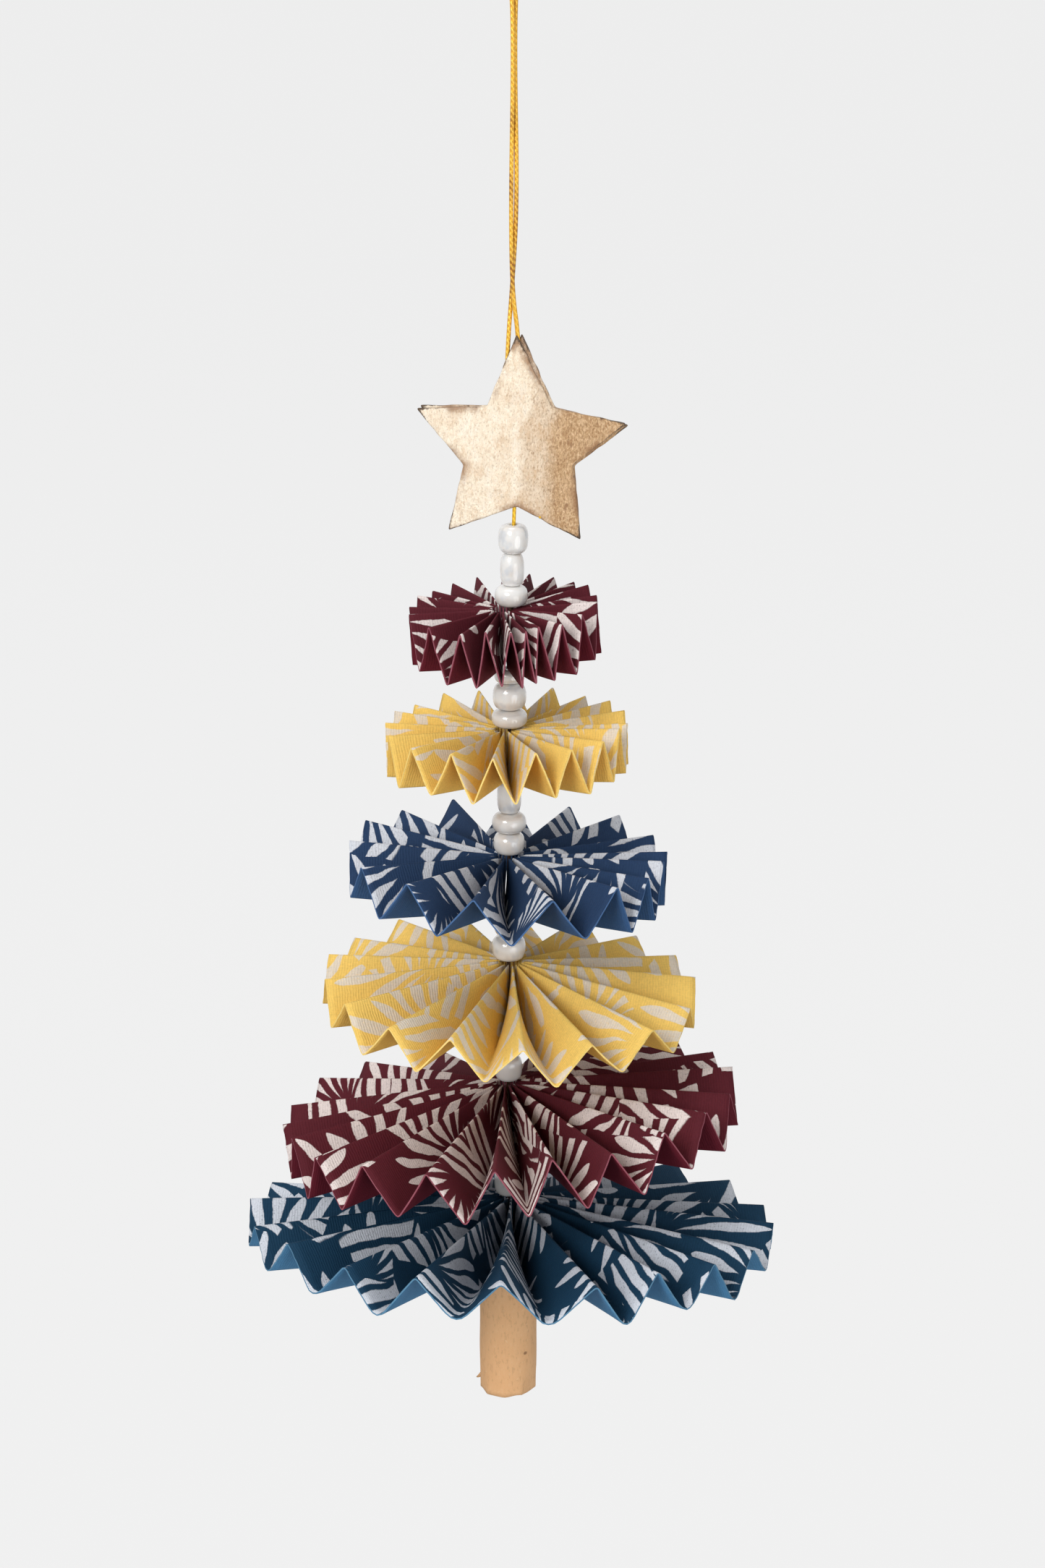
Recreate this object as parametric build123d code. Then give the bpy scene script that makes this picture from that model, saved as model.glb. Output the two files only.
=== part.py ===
from build123d import *
import math
import os

# Hanging tree ornament of folded printed paper. Six accordion-folded paper rings, smallest at
# the top, are strung with pearl glass beads between a gilded card star and a rolled kraft trunk.
# Millimetres, +Z up. The origin is the inside of the hanging loop's top, where the loop bears on
# whatever it hangs from, so the whole ornament lies below it. The front faces -Y.

# Hanging loop: gold thread, doubled, its two ends glued between the star's layers
loop_thread_diameter = 0.6
loop_half_width = 2.1
# Points of the loop's route, from its left end in the star over the top to its right end
loop_points = [
    (-0.20, 0.0, -67.5),
    (-0.02, 0.0, -61.5),
    (0.55, 0.40, -54.6),
    (1.25, 0.05, -43.0),
    (0.90, 0.40, -24.0),
    (1.15, 0.25, -14.0),
    (loop_half_width, 0.0, -6.0),
    (loop_half_width, 0.0, loop_thread_diameter / 2),
    (-loop_half_width, 0.0, loop_thread_diameter / 2),
    (-loop_half_width, 0.0, -6.0),
    (0.50, -0.25, -14.0),
    (0.75, -0.40, -24.0),
    (0.40, -0.05, -43.0),
    (0.55, -0.40, -54.6),
    (1.40, 0.0, -60.8),
    (1.60, 0.0, -66.0),
]

# Star: two layers of gilded card, cut by hand and glued face to face over the thread ends
star_centre_x = 1.3
star_centre_z = -75.6
star_tip_radius = 14.8
star_notch_radius = 7.3
star_turn = 4.0
star_card_thickness = 0.5
star_corner_radius = 0.35
# How far each hand-cut tip and notch strays from a regular star, outwards and sideways
star_tip_strays = [(0.4, -1.2), (-0.2, 0.9), (0.4, -0.4), (-0.4, 0.0), (-0.4, 0.0)]
star_notch_strays = [(-0.3, 0.0), (0.4, -0.4), (0.5, -0.4), (0.2, -0.4), (-0.4, -0.5)]
star_back_turn = 1.4
star_back_shift = 0.3
# The card is softly bent along two upright lines: the distance of each from the axis, and its turn
star_bend_lines = [(1.8, 7.0), (5.3, 9.0)]
star_thread_channel_clearance = 0.02

# Stringing thread: runs from the star down through beads and rings, knotted under the trunk
string_thread_diameter = 0.5
string_start_x = 1.05
string_start_above_star_notch = 6.0
string_bend_x = 0.2
string_end_x = -0.25
string_knot_diameter = 1.1
star_to_top_bead = 2.5

# Pearl glass beads, drilled along the thread: width and height of each, from the top down
bead_bore_diameter = 1.1
bead_flat_width = 0.35
bead_gap = 0.02
bead_stacks = [
    [(4.1, 3.9), (3.3, 4.4), (4.5, 2.8)],
    [(4.2, 2.0), (4.6, 3.7), (4.9, 2.45)],
    [(3.4, 4.5), (4.7, 2.75), (4.3, 3.05)],
    [(4.1, 3.45), (4.7, 3.45)],
    [(4.0, 3.35), (4.2, 3.1), (3.9, 3.6)],
    [(4.3, 4.05), (3.9, 4.05)],
]

# Folded rings
paper_thickness = 0.2
ring_hub_radius = 1.5
ring_seat_radius = 1.7
ring_seat_gap = 0.06
ring_wave_step = 2.4
# Each ring is one strip of paper, folded to and fro, closed into a ring and drawn in at its inner
# edge. depth is the height of a closed fold, lift is how far the rim stands above the hub, and
# wave is the unevenness of the rim. The two tilts say how far the ring hangs out of level, and
# front_folds gives the angle of each fold that stands up at the front, in degrees round from
# straight ahead towards +X. The other folds share the rest of the ring evenly.
rings = [
    {
        "name": "ring_1_maroon", "radius": 12.7, "depth": 8.2, "folds": 21, "lift": 0.8,
        "wave": 0.25, "tilt_forward": 3.2, "tilt_side": 3.8, "offset_x": -0.40,
        "front_folds": (-82, -50, -26, -10, 5, 14, 22, 38, 56, 82),
    },
    {
        "name": "ring_2_yellow", "radius": 16.4, "depth": 7.4, "folds": 19, "lift": 1.2,
        "wave": 0.3, "tilt_forward": 0.3, "tilt_side": 1.7, "offset_x": -0.15,
        "front_folds": (-75, -50, -26, -6, 14, 32, 52, 68, 84),
    },
    {
        "name": "ring_3_navy", "radius": 21.7, "depth": 8.1, "folds": 16, "lift": 1.7,
        "wave": 0.3, "tilt_forward": 0.4, "tilt_side": -2.1, "offset_x": -0.20,
        "front_folds": (-92, -65, -38, -12, 16, 42, 60, 76, 90),
    },
    {
        "name": "ring_4_yellow", "radius": 25.7, "depth": 7.3, "folds": 17, "lift": -1.5,
        "wave": 0.35, "tilt_forward": 1.5, "tilt_side": -2.6, "offset_x": 0.20,
        "front_folds": (-80, -60, -39, -18, 4, 25, 48, 73, 95),
    },
    {
        "name": "ring_5_maroon", "radius": 31.5, "depth": 8.5, "folds": 21, "lift": -1.4,
        "wave": 0.4, "tilt_forward": -3.6, "tilt_side": 5.9, "offset_x": 0.10,
        "front_folds": (-84, -70, -56, -38, -20, -3, 11, 26, 42, 59, 76, 94),
    },
    {
        "name": "ring_6_teal", "radius": 36.8, "depth": 8.4, "folds": 20, "lift": -1.0,
        "wave": 0.45, "tilt_forward": -7.6, "tilt_side": -1.6, "offset_x": 0.30,
        "front_folds": (-74, -55, -37, -20, -2, 18, 32, 48, 64, 84),
    },
]
# Flat stretches that each folded panel is made of, from the hub to the rim
panel_stretches = 3

# Trunk: a strip of kraft paper rolled up tight round the thread
trunk_diameter = 8.6
trunk_length = 20.1
trunk_paper_thickness = 0.38
trunk_turn_gap = 0.07
trunk_core_clearance = 0.1
trunk_seam_angle = 150.0
trunk_facet_length = 0.9
trunk_facet_turn = 30.0
trunk_to_ring = 0.1

os.makedirs("parts", exist_ok=True)


def route_radii(points, share=0.45):
    """Radius of the arc at each corner of a thread's route: as large as its two runs allow."""
    radii = []
    for before, corner, after in zip(points, points[1:], points[2:]):
        run_in = Vector(*corner) - Vector(*before)
        run_out = Vector(*after) - Vector(*corner)
        half_turn = math.radians(run_in.get_angle(run_out)) / 2
        radii.append(share * min(run_in.length, run_out.length) / math.tan(half_turn))
    return radii


def thread_path(points):
    return FilletPolyline(*points, radius=route_radii(points))


def thread_tube(points, diameter):
    path = thread_path(points)
    section = Plane(origin=path @ 0, z_dir=path % 0) * Circle(diameter / 2)
    return sweep(section, path=path)


def star_outline(turn, shift_x):
    """The star's ten corners, tips and notches by turns, going round clockwise from the top."""
    corners = []
    for i in range(5):
        reach, drift = star_tip_strays[i]
        corners.append((star_tip_radius + reach, drift, 72.0 * i + turn))
        reach, drift = star_notch_strays[i]
        corners.append((star_notch_radius + reach, drift, 72.0 * i + 36.0 + turn))
    points = []
    for radius, drift, angle in corners:
        a = math.radians(angle)
        x = radius * math.sin(a) + drift * math.cos(a)
        z = radius * math.cos(a) - drift * math.sin(a)
        points.append((star_centre_x + shift_x + x, star_centre_z + z))
    return points


def bent_slab(y_front, y_back):
    """A card sheet larger than the star, bent along the star's two upright bend lines."""
    reach = 2 * star_tip_radius
    middle = [(-reach, 0.0)]
    angle = 0.0
    x, y = 0.0, 0.0
    for line_x, turn in star_bend_lines:
        y += (line_x - x) * math.tan(math.radians(angle))
        x = line_x
        middle.append((x, y))
        angle += turn
    middle.append((reach, y + (reach - x) * math.tan(math.radians(angle))))
    outline = [(px, py + y_front) for px, py in middle]
    outline += [(px, py + y_back) for px, py in reversed(middle)]
    face = make_face(Polyline(*outline, close=True))
    return extrude(Pos(0, 0, star_centre_z - reach) * face, amount=2 * reach, dir=(0, 0, 1))


def star_layer(turn, shift_x, y_front, y_back, channels):
    """One layer of the star: the bent sheet inside the star's outline, less the thread channels."""
    outline = make_face(Plane.XZ * Polyline(*star_outline(turn, shift_x), close=True))
    prism = extrude(outline, amount=star_tip_radius, dir=(0, 1, 0), both=True)
    upright = prism.edges().filter_by(Axis.Y)
    layer = fillet(upright, star_corner_radius) & bent_slab(y_front, y_back)
    for channel in channels:
        layer -= channel
    return layer.solids().sort_by(SortBy.VOLUME)[-1]


def bead(width, height):
    bore_radius = bead_bore_diameter / 2
    flat_radius = bore_radius + bead_flat_width
    crown = EllipticalCenterArc(
        (flat_radius, 0), width / 2 - flat_radius, height / 2, start_angle=-90, arc_size=180
    )
    rest = Polyline(
        (flat_radius, height / 2),
        (bore_radius, height / 2),
        (bore_radius, -height / 2),
        (flat_radius, -height / 2),
    )
    profile = make_face(Plane.XZ * (crown + rest))
    return revolve(profile, axis=Axis.Z)


def rim_angles(ring):
    """Angle of each upstanding fold at the rim: the front ones as given, the others even."""
    front = list(ring["front_folds"])
    others = ring["folds"] - len(front)
    gap = (front[0] + 360.0 - front[-1]) / (others + 1)
    return front + [front[-1] + gap * (i + 1) for i in range(others)]


def rim_wave(ring, fold):
    """Small rise and fall of the rim from one fold to the next."""
    return ring["wave"] * math.sin(ring_wave_step * fold + ring["radius"])


def ring_fold_ends(ring):
    """The hub and rim end of every fold line, by turns upstanding and hanging, hub centre at 0."""
    count = ring["folds"]
    rims = rim_angles(ring)
    hub_start = sum(rims[i] - 360.0 * i / count for i in range(count)) / count
    folds = []
    heights = []
    for i in range(count):
        following = rims[i + 1] if i + 1 < count else rims[0] + 360.0
        half_gap = math.radians(following - rims[i]) / 2
        chord = 2 * ring["radius"] * math.sin(half_gap / 2)
        heights.append(math.sqrt(max(ring["depth"] ** 2 - chord ** 2, (ring["depth"] / 3) ** 2)))
    for i in range(count):
        following = rims[i + 1] if i + 1 < count else rims[0] + 360.0
        top = ring["lift"] + rim_wave(ring, i) + (heights[i - 1] + heights[i]) / 4
        bottom = ring["lift"] + rim_wave(ring, i + 0.5) - heights[i] / 2
        hub_angle = hub_start + 360.0 * i / count
        folds.append((hub_angle, rims[i], ring["depth"] / 2, top))
        folds.append((hub_angle + 180.0 / count, (rims[i] + following) / 2, -ring["depth"] / 2, bottom))
    ends = []
    for hub_angle, rim_angle, hub_z, rim_z in folds:
        a, b = math.radians(hub_angle), math.radians(rim_angle)
        hub = Vector(ring_hub_radius * math.sin(a), -ring_hub_radius * math.cos(a), hub_z)
        rim = Vector(ring["radius"] * math.sin(b), -ring["radius"] * math.cos(b), rim_z)
        ends.append((hub, rim))
    return ends


def folded_section(ends, share):
    """Cut the folded strip at a share of the way out: upper and lower corners of its paper."""
    line = [hub + (rim - hub) * share for hub, rim in ends]
    upper, lower = [], []
    for i, point in enumerate(line):
        before = line[i - 1]
        after = line[(i + 1) % len(line)]
        width_in = math.hypot(point.X - before.X, point.Y - before.Y)
        width_out = math.hypot(point.X - after.X, point.Y - after.Y)
        width = width_in + width_out
        rise = abs(2 * point.Z - before.Z - after.Z) / 2
        across = paper_thickness * math.hypot(1.0, width / 2 / rise)
        angle = math.atan2(point.X, -point.Y)
        along = Vector(math.cos(angle), math.sin(angle), 0)
        outer = [point - along * (across / 2), point + along * (across / 2)]
        crease = rise * across / width
        shift = across / 2 * (width_out - width_in) / width
        if i % 2 == 0:
            upper.append(outer)
            lower.append([point - along * shift - Vector(0, 0, crease)])
        else:
            upper.append([point + along * shift + Vector(0, 0, crease)])
            lower.append(outer)
    return upper, lower


def folded_ring(ring):
    """A closed folded strip of paper, as one solid of flat facets."""
    ends = ring_fold_ends(ring)
    sections = [folded_section(ends, k / panel_stretches) for k in range(panel_stretches + 1)]
    facets = []

    def add_quad(a, b, c, d):
        facets.append((a, b, c))
        facets.append((a, c, d))

    for inner, outer in zip(sections, sections[1:]):
        for side in (0, 1):
            near = [p for corner in inner[side] for p in corner]
            far = [p for corner in outer[side] for p in corner]
            for j in range(len(near)):
                k = (j + 1) % len(near)
                add_quad(near[j], near[k], far[k], far[j])
    for upper, lower in (sections[0], sections[-1]):
        for i in range(len(upper)):
            j = (i + 1) % len(upper)
            pair = upper[i] if len(upper[i]) == 2 else lower[i]
            single = lower[i] if len(upper[i]) == 2 else upper[i]
            facets.append((pair[0], pair[1], single[0]))
            add_quad(upper[i][-1], upper[j][0], lower[j][0], lower[i][-1])
    faces = [Face(Wire.make_polygon(corners)) for corners in facets]
    solid = Solid(Shell(faces))
    tilt = Rot(ring["tilt_forward"], 0, 0) * Rot(0, -ring["tilt_side"], 0)
    return tilt * solid


def tilt_rise(ring, radius):
    """How far a ring that hangs out of level rises at a distance from its centre."""
    tilt = math.hypot(ring["tilt_forward"], ring["tilt_side"])
    return radius * math.sin(math.radians(tilt))


def rolled_trunk():
    """Kraft strip rolled from the thread outwards; its outer end is the seam."""
    pitch = trunk_paper_thickness + trunk_turn_gap
    core_radius = string_thread_diameter / 2 + trunk_core_clearance
    radius = trunk_diameter / 2 - trunk_paper_thickness
    angle = math.radians(trunk_seam_angle)
    inner, outer = [], []
    while radius > core_radius:
        for side, r in ((inner, radius), (outer, radius + trunk_paper_thickness)):
            side.append((r * math.cos(angle), r * math.sin(angle)))
        step = min(trunk_facet_length / radius, math.radians(trunk_facet_turn))
        angle -= step
        radius -= pitch * step / (2 * math.pi)
    face = make_face(Polyline(*(inner + outer[::-1]), close=True))
    return extrude(face, amount=trunk_length, dir=(0, 0, -1))


parts = {}

# The star's lowest notch carries the stringing thread; the stack is worked out from there down
star_notch_z = min(z for x, z in star_outline(star_turn, 0.0)[1::2])
height = star_notch_z - star_to_top_bead
seats = []
for stack, ring in zip(bead_stacks, rings):
    for width, bead_height in stack:
        seats.append(("bead", (width, bead_height), height - bead_height / 2))
        height -= bead_height + bead_gap
    height -= ring_seat_gap + tilt_rise(ring, ring_seat_radius) + ring["depth"] / 2
    seats.append(("ring", ring, height))
    height -= ring["depth"] / 2 + tilt_rise(ring, ring_seat_radius) + ring_seat_gap
trunk_top = height - tilt_rise(rings[-1], trunk_diameter / 2 - ring_seat_radius) - trunk_to_ring
trunk_bottom = trunk_top - trunk_length
first_ring_z = next(z for kind, size, z in seats if kind == "ring")

# The thread leans from the star to the first ring, and hangs nearly upright from there
string_points = [
    (string_start_x, 0.0, star_notch_z + string_start_above_star_notch),
    (string_bend_x, 0.0, first_ring_z),
    (string_end_x, 0.0, trunk_bottom - string_knot_diameter / 2),
]


def string_x(z):
    """Where the thread is at a height, so that what is strung on it sits round it."""
    upper, bend, lower = string_points
    start, end = (upper, bend) if z > bend[2] else (bend, lower)
    return start[0] + (end[0] - start[0]) * (z - start[2]) / (end[2] - start[2])


parts["hanging_loop"] = thread_tube(loop_points, loop_thread_diameter)
string_tube = thread_tube(string_points, string_thread_diameter)
knot_centre = Pos(*string_points[-1])
parts["stringing_thread"] = string_tube + knot_centre * Sphere(string_knot_diameter / 2)

channels = [
    thread_tube(loop_points, loop_thread_diameter + 2 * star_thread_channel_clearance),
    thread_tube(string_points, string_thread_diameter + 2 * star_thread_channel_clearance),
]
parts["star_front"] = star_layer(star_turn, 0.0, -star_card_thickness, 0.0, channels)
parts["star_back"] = star_layer(
    star_turn + star_back_turn, star_back_shift, 0.0, star_card_thickness, channels
)

bead_number = 0
for kind, size, z in seats:
    if kind == "bead":
        bead_number += 1
        parts[f"bead_{bead_number:02d}"] = Pos(string_x(z), 0, z) * bead(*size)
    else:
        parts[size["name"]] = Pos(size["offset_x"], 0, z) * folded_ring(size)

parts["trunk"] = Pos(string_x(trunk_top - trunk_length / 2), 0, trunk_top) * rolled_trunk()

for name, solid in parts.items():
    export_step(solid, f"parts/{name}.step")

for label, points, diameter in (
    ("hanging loop", loop_points, loop_thread_diameter),
    ("stringing thread", string_points, string_thread_diameter),
):
    path = thread_path(points)
    radii = ", ".join(f"{radius:.1f}" for radius in route_radii(points))
    volume = math.pi * diameter ** 2 / 4 * path.length
    print(f"{label}: length {path.length:.1f} mm, section x length {volume:.2f} mm3, radii {radii}")
print(f"hanging loop tube volume {parts['hanging_loop'].volume:.2f} mm3")
print(f"trunk bottom at {trunk_bottom:.1f} mm, {len(parts)} nodes")
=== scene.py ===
import math
import random

import bpy
from mathutils import Matrix
from mathutils import Vector
from mathutils import noise


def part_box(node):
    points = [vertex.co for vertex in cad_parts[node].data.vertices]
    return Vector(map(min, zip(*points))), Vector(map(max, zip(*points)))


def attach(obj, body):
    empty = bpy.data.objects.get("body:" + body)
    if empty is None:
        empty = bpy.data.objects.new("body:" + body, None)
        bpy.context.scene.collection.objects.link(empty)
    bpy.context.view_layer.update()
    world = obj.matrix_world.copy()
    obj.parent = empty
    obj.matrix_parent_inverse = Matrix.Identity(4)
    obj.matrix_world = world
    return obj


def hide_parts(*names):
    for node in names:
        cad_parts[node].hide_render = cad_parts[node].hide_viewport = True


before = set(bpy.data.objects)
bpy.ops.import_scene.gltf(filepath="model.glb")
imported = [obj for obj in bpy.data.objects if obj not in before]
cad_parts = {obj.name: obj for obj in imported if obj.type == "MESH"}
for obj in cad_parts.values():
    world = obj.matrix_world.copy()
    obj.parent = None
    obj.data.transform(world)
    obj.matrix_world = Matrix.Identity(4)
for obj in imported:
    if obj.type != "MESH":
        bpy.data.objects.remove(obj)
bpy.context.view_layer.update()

# Hanging tree ornament of folded printed paper, seen a little from above, as in the photograph.
# Lengths in the settings are millimetres. Blender's objects are in metres, in the model's frame.
mm = 0.001
print("frame loaded, nodes:", len(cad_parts))


# Small helpers for materials

def newMaterial(name, roughness, metallic=0.0):
    material = bpy.data.materials.new(name)
    material.use_nodes = True
    tree = material.node_tree
    tree.nodes.clear()
    shader = tree.nodes.new("ShaderNodeBsdfPrincipled")
    output = tree.nodes.new("ShaderNodeOutputMaterial")
    tree.links.new(shader.outputs["BSDF"], output.inputs["Surface"])
    shader.inputs["Roughness"].default_value = roughness
    shader.inputs["Metallic"].default_value = metallic
    return material, tree, shader


def plug(tree, value, socket):
    # a socket is linked, and a plain number or colour is set
    if isinstance(value, bpy.types.NodeSocket):
        tree.links.new(value, socket)
    else:
        socket.default_value = value


def sums(tree, operation, first, second=0.0, third=0.0):
    node = tree.nodes.new("ShaderNodeMath")
    node.operation = operation
    for socket, value in zip(node.inputs, (first, second, third)):
        plug(tree, value, socket)
    return node.outputs[0]


def ease(tree, value, low, high, start=0.0, end=1.0):
    node = tree.nodes.new("ShaderNodeMapRange")
    node.interpolation_type = "SMOOTHSTEP"
    plug(tree, value, node.inputs["Value"])
    plug(tree, low, node.inputs["From Min"])
    plug(tree, high, node.inputs["From Max"])
    node.inputs["To Min"].default_value = start
    node.inputs["To Max"].default_value = end
    return node.outputs["Result"]


def blendColours(tree, share, first, second):
    node = tree.nodes.new("ShaderNodeMix")
    node.data_type = "RGBA"
    plug(tree, share, node.inputs[0])
    for socket, colour in ((node.inputs[6], first), (node.inputs[7], second)):
        plug(tree, colour, socket)
    return node.outputs[2]


def grain(tree, place, scale, detail=3.0, roughness=0.55):
    node = tree.nodes.new("ShaderNodeTexNoise")
    plug(tree, place, node.inputs["Vector"])
    node.inputs["Scale"].default_value = scale
    node.inputs["Detail"].default_value = detail
    node.inputs["Roughness"].default_value = roughness
    return node.outputs["Fac"]


def stretched(tree, place, factors):
    node = tree.nodes.new("ShaderNodeMapping")
    plug(tree, place, node.inputs["Vector"])
    node.inputs["Scale"].default_value = factors
    return node.outputs["Vector"]


def objectPlace(tree):
    return tree.nodes.new("ShaderNodeTexCoord").outputs["Object"]


def parted(tree, vector):
    # a vector's numbers, by the names X, Y and Z
    node = tree.nodes.new("ShaderNodeSeparateXYZ")
    tree.links.new(vector, node.inputs[0])
    return node.outputs


def hypotenuse(tree, first, second):
    squares = sums(tree, "ADD", sums(tree, "MULTIPLY", first, first), sums(tree, "MULTIPLY", second, second))
    return sums(tree, "SQRT", squares)


def frontDistance(tree, parts, spot):
    # distance from a spot given by its x and z, as seen from the front
    aside = sums(tree, "SUBTRACT", parts["X"], spot[0] * mm)
    rise = sums(tree, "SUBTRACT", parts["Z"], spot[1] * mm)
    return hypotenuse(tree, aside, rise)


def raised(tree, shader, height, distance, strength=1.0):
    node = tree.nodes.new("ShaderNodeBump")
    node.inputs["Strength"].default_value = strength
    node.inputs["Distance"].default_value = distance
    plug(tree, height, node.inputs["Height"])
    tree.links.new(node.outputs["Normal"], shader.inputs["Normal"])


def linear(red, green, blue):
    # a colour read as 0 to 255 screen values, as the shader wants it
    values = []
    for part in (red, green, blue):
        share = part / 255
        values.append(share / 12.92 if share <= 0.04045 else ((share + 0.055) / 1.055) ** 2.4)
    return (*values, 1.0)


# Small helpers for meshes

def meshPiece(name, points, faces, smooth=True):
    mesh = bpy.data.meshes.new(name)
    mesh.from_pydata([Vector(point) * mm for point in points], [], faces)
    mesh.validate()
    piece = bpy.data.objects.new(name, mesh)
    bpy.context.collection.objects.link(piece)
    for polygon in mesh.polygons:
        polygon.use_smooth = smooth
    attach(piece, "root")
    return piece


def gridFaces(rows, columns, closed, start=0, flip=False):
    # quads over a grid of points stored row by row; closed joins the last column to the first
    faces = []
    for row in range(rows - 1):
        for column in range(columns if closed else columns - 1):
            after = (column + 1) % columns
            a = start + row * columns + column
            b = start + row * columns + after
            c = start + (row + 1) * columns + after
            d = start + (row + 1) * columns + column
            faces.append((d, c, b, a) if flip else (a, b, c, d))
    return faces


def boxInMm(node):
    low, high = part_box(node)
    return Vector(low) / mm, Vector(high) / mm


def onBend(bend, share):
    # a point on the smooth bend between two ends, which a corner pulls to itself
    start, corner, end = bend
    return start * (1 - share) ** 2 + corner * 2 * share * (1 - share) + end * share ** 2


# Camera, light and background, so that the colours come out about as they are written

studio = {
    "target": (1.91, 0.0, -122.0),      # point at the middle of the picture
    "distance": 519.6,
    "lookDown": 17.0,                   # degrees
    "lens": 88.0,
    "sensorHeight": 36.0,
    "clip": (0.01, 50.0),               # metres
    "floorHeight": -1500.0,
    "floorRadius": 30000.0,
    "floorCorners": 96,
    "floorFade": (1200.0, 9000.0),      # the floor turns into plain backdrop between these distances
    "floorSeen": 0.16,                  # grey of the near floor that the camera sees
    "floorLighting": 0.8,               # grey of the floor that throws light back at the object
    "backdropLevel": 0.85,              # brightness that the camera sees behind the object
    "nearFloorGlow": 0.79,              # what the near floor adds to the light that falls on it
    "roomLevel": 0.52,                  # even light from all round
    "keyPower": 2.35,
    "keyPlace": (-300.0, -520.0, 150.0),
    "keySize": 330.0,
    "topPower": 0.95,
    "topPlace": (-120.0, -60.0, 520.0),
    "topSize": 480.0,
    "fillPower": 0.65,
    "fillPlace": (300.0, -440.0, -260.0),
    "fillSize": 420.0,
}


def makeCamera():
    data = bpy.data.cameras.new("camera")
    data.sensor_fit = "VERTICAL"
    data.sensor_height = studio["sensorHeight"]
    data.lens = studio["lens"]
    data.clip_start, data.clip_end = studio["clip"]
    camera = bpy.data.objects.new("camera", data)
    bpy.context.collection.objects.link(camera)
    down = math.radians(studio["lookDown"])
    target = Vector(studio["target"])
    away = Vector((0.0, -math.cos(down), math.sin(down))) * studio["distance"]
    camera.location = (target + away) * mm
    camera.rotation_euler = (math.pi / 2 - down, 0.0, 0.0)
    bpy.context.scene.camera = camera


def makeLamp(name, place, size, power):
    data = bpy.data.lights.new(name, "AREA")
    data.shape = "DISK"
    data.size = size * mm
    data.energy = power
    lamp = bpy.data.objects.new(name, data)
    bpy.context.collection.objects.link(lamp)
    lamp.location = Vector(place) * mm
    aim = Vector(studio["target"]) * mm - lamp.location
    lamp.rotation_euler = aim.to_track_quat("-Z", "Y").to_euler()
    lamp.visible_camera = False


def seenDirectly(tree):
    # 1 for the camera, and for what shows in glass and metal
    rays = tree.nodes.new("ShaderNodeLightPath")
    seen = sums(tree, "MAXIMUM", rays.outputs["Is Camera Ray"], rays.outputs["Is Glossy Ray"])
    return sums(tree, "MAXIMUM", seen, rays.outputs["Is Transmission Ray"])


def makeRoom():
    world = bpy.data.worlds.new("room")
    bpy.context.scene.world = world
    world.use_nodes = True
    tree = world.node_tree
    tree.nodes.clear()
    light = tree.nodes.new("ShaderNodeBackground")
    light.inputs["Color"].default_value = (1.0, 1.0, 1.0, 1.0)
    added = studio["backdropLevel"] - studio["roomLevel"]
    level = sums(tree, "MULTIPLY_ADD", seenDirectly(tree), added, studio["roomLevel"])
    tree.links.new(level, light.inputs["Strength"])
    output = tree.nodes.new("ShaderNodeOutputWorld")
    tree.links.new(light.outputs["Background"], output.inputs["Surface"])


def mattGrey(tree, level):
    node = tree.nodes.new("ShaderNodeBsdfDiffuse")
    node.inputs["Color"].default_value = (level, level, level, 1.0)
    return node.outputs["BSDF"]


def glowing(tree, strength):
    node = tree.nodes.new("ShaderNodeEmission")
    node.inputs["Strength"].default_value = strength
    return node.outputs["Emission"]


def blendShaders(tree, share, first, second):
    node = tree.nodes.new("ShaderNodeMixShader")
    for socket, source in zip(node.inputs, (share, first, second)):
        tree.links.new(source, socket)
    return node.outputs["Shader"]


def floorMaterial():
    # the camera sees a near floor that fades into backdrop, and the light sees a plain pale floor
    material = bpy.data.materials.new("paleFloor")
    material.use_nodes = True
    tree = material.node_tree
    tree.nodes.clear()
    near = tree.nodes.new("ShaderNodeAddShader")
    tree.links.new(mattGrey(tree, studio["floorSeen"]), near.inputs[0])
    tree.links.new(glowing(tree, studio["nearFloorGlow"]), near.inputs[1])
    away = tree.nodes.new("ShaderNodeVectorMath")
    away.operation = "LENGTH"
    tree.links.new(objectPlace(tree), away.inputs[0])
    start, end = studio["floorFade"]
    fading = ease(tree, away.outputs["Value"], start * mm, end * mm)
    seen = blendShaders(tree, fading, near.outputs["Shader"], glowing(tree, studio["backdropLevel"]))
    lighting = mattGrey(tree, studio["floorLighting"])
    output = tree.nodes.new("ShaderNodeOutputMaterial")
    tree.links.new(blendShaders(tree, seenDirectly(tree), lighting, seen), output.inputs["Surface"])
    return material


def makeFloor():
    corners = studio["floorCorners"]
    points = [(0.0, 0.0, 0.0)]
    for i in range(corners):
        turn = 2 * math.pi * i / corners
        points.append((studio["floorRadius"] * math.cos(turn), studio["floorRadius"] * math.sin(turn), 0.0))
    faces = [(0, i + 1, (i + 1) % corners + 1) for i in range(corners)]
    mesh = bpy.data.meshes.new("floor")
    mesh.from_pydata([Vector(point) * mm for point in points], [], faces)
    mesh.materials.append(floorMaterial())
    floor = bpy.data.objects.new("floor", mesh)
    bpy.context.collection.objects.link(floor)
    floor.location = (0.0, 0.0, studio["floorHeight"] * mm)


makeCamera()
makeLamp("keyLamp", studio["keyPlace"], studio["keySize"], studio["keyPower"])
makeLamp("topLamp", studio["topPlace"], studio["topSize"], studio["topPower"])
makeLamp("fillLamp", studio["fillPlace"], studio["fillSize"], studio["fillPower"])
makeRoom()
makeFloor()
bpy.context.scene.view_settings.view_transform = "Standard"
print("camera, light and background made")


# Hanging loop: doubled gold thread, from the star up over whatever it hangs on and back

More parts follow.
